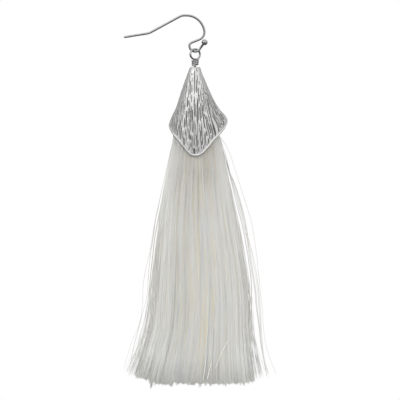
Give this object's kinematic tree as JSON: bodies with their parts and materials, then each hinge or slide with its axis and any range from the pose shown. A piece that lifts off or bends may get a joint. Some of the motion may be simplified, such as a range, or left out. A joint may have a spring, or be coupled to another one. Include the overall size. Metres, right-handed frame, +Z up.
{
  "type": "tassel earring",
  "caption": "Long drop earring: a ball-ended ear wire carries a wrapped wire eye, a cast metal cap with pointed petals and a long pale thread tassel.",
  "frame": {"origin": "underside of the ear wire at its crown, where it hangs in the ear", "axes": "+Z up the hanging earring, +X from the ear wire's tail to its arch, -Y to the front"},
  "size_m": [0.0469, 0.0292, 0.13],
  "materials": {
    "ear_wire": "polished silver plate",
    "eye_wire": "polished silver plate",
    "cast_cap": "antiqued cast silver tone",
    "threads": "fine silky thread"
  },
  "bodies": {
    "hook": {"ear_hook": "ear_wire"},
    "drop": {"eye_loop": "eye_wire", "cap": "cast_cap", "tassel": "threads"}
  },
  "joints": [
    {"name": "drop_swing", "type": "hinge", "parent": "hook", "child": "drop", "pos_m": [0.00302, 0, -0.01227], "axis": [1, 0, 0], "range_deg": [-60, 60]}
  ]
}
